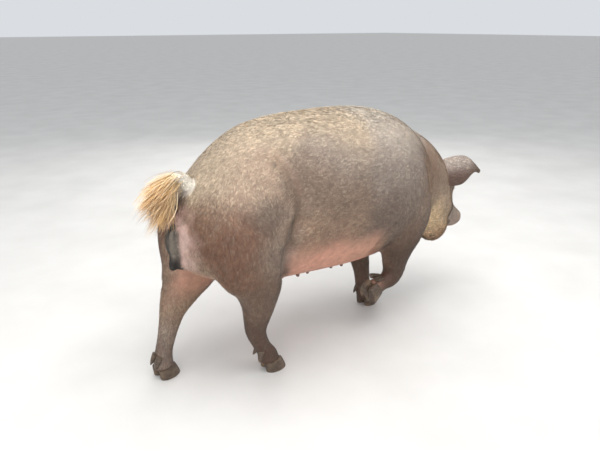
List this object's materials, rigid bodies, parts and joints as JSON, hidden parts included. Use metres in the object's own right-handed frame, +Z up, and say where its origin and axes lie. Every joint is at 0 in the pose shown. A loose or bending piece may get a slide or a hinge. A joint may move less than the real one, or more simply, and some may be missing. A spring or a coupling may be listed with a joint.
{
  "type": "sow",
  "caption": "Life-size adult sow in a slow walking stance, head low, ears half hanging, one fore foot lifted, with a curled and tufted tail; stands as a still display model.",
  "frame": {"origin": "centre of the bounding box at the level of the soles", "axes": "+X towards the head, +Y to the sow's left, +Z up"},
  "size_m": [1.5095, 0.511, 0.865],
  "materials": {
    "hide": "short grizzled bristles, cream to grey-brown, over pink skin",
    "dark_hide": "short dark grey-brown bristles",
    "claw": "dull dark horn",
    "eye": "wet dark brown",
    "tail_hair": "long golden hair"
  },
  "bodies": {
    "root": {"torso": "hide", "neck": "hide", "head": "hide", "ear_left": "hide", "ear_right": "hide", "eye_left": "eye", "eye_right": "eye", "fore_left_upper": "hide", "fore_left_lower": "dark_hide", "fore_right_upper": "hide", "fore_right_lower": "dark_hide", "hind_left_upper": "hide", "hind_left_lower": "dark_hide", "hind_right_upper": "hide", "hind_right_lower": "dark_hide", "fore_left_claw_left": "claw", "fore_left_claw_right": "claw", "fore_left_dewclaw_left": "claw", "fore_left_dewclaw_right": "claw", "fore_right_claw_left": "claw", "fore_right_claw_right": "claw", "fore_right_dewclaw_left": "claw", "fore_right_dewclaw_right": "claw", "hind_left_claw_left": "claw", "hind_left_claw_right": "claw", "hind_left_dewclaw_left": "claw", "hind_left_dewclaw_right": "claw", "hind_right_claw_left": "claw", "hind_right_claw_right": "claw", "hind_right_dewclaw_left": "claw", "hind_right_dewclaw_right": "claw", "tail": "tail_hair"}
  },
  "joints": []
}
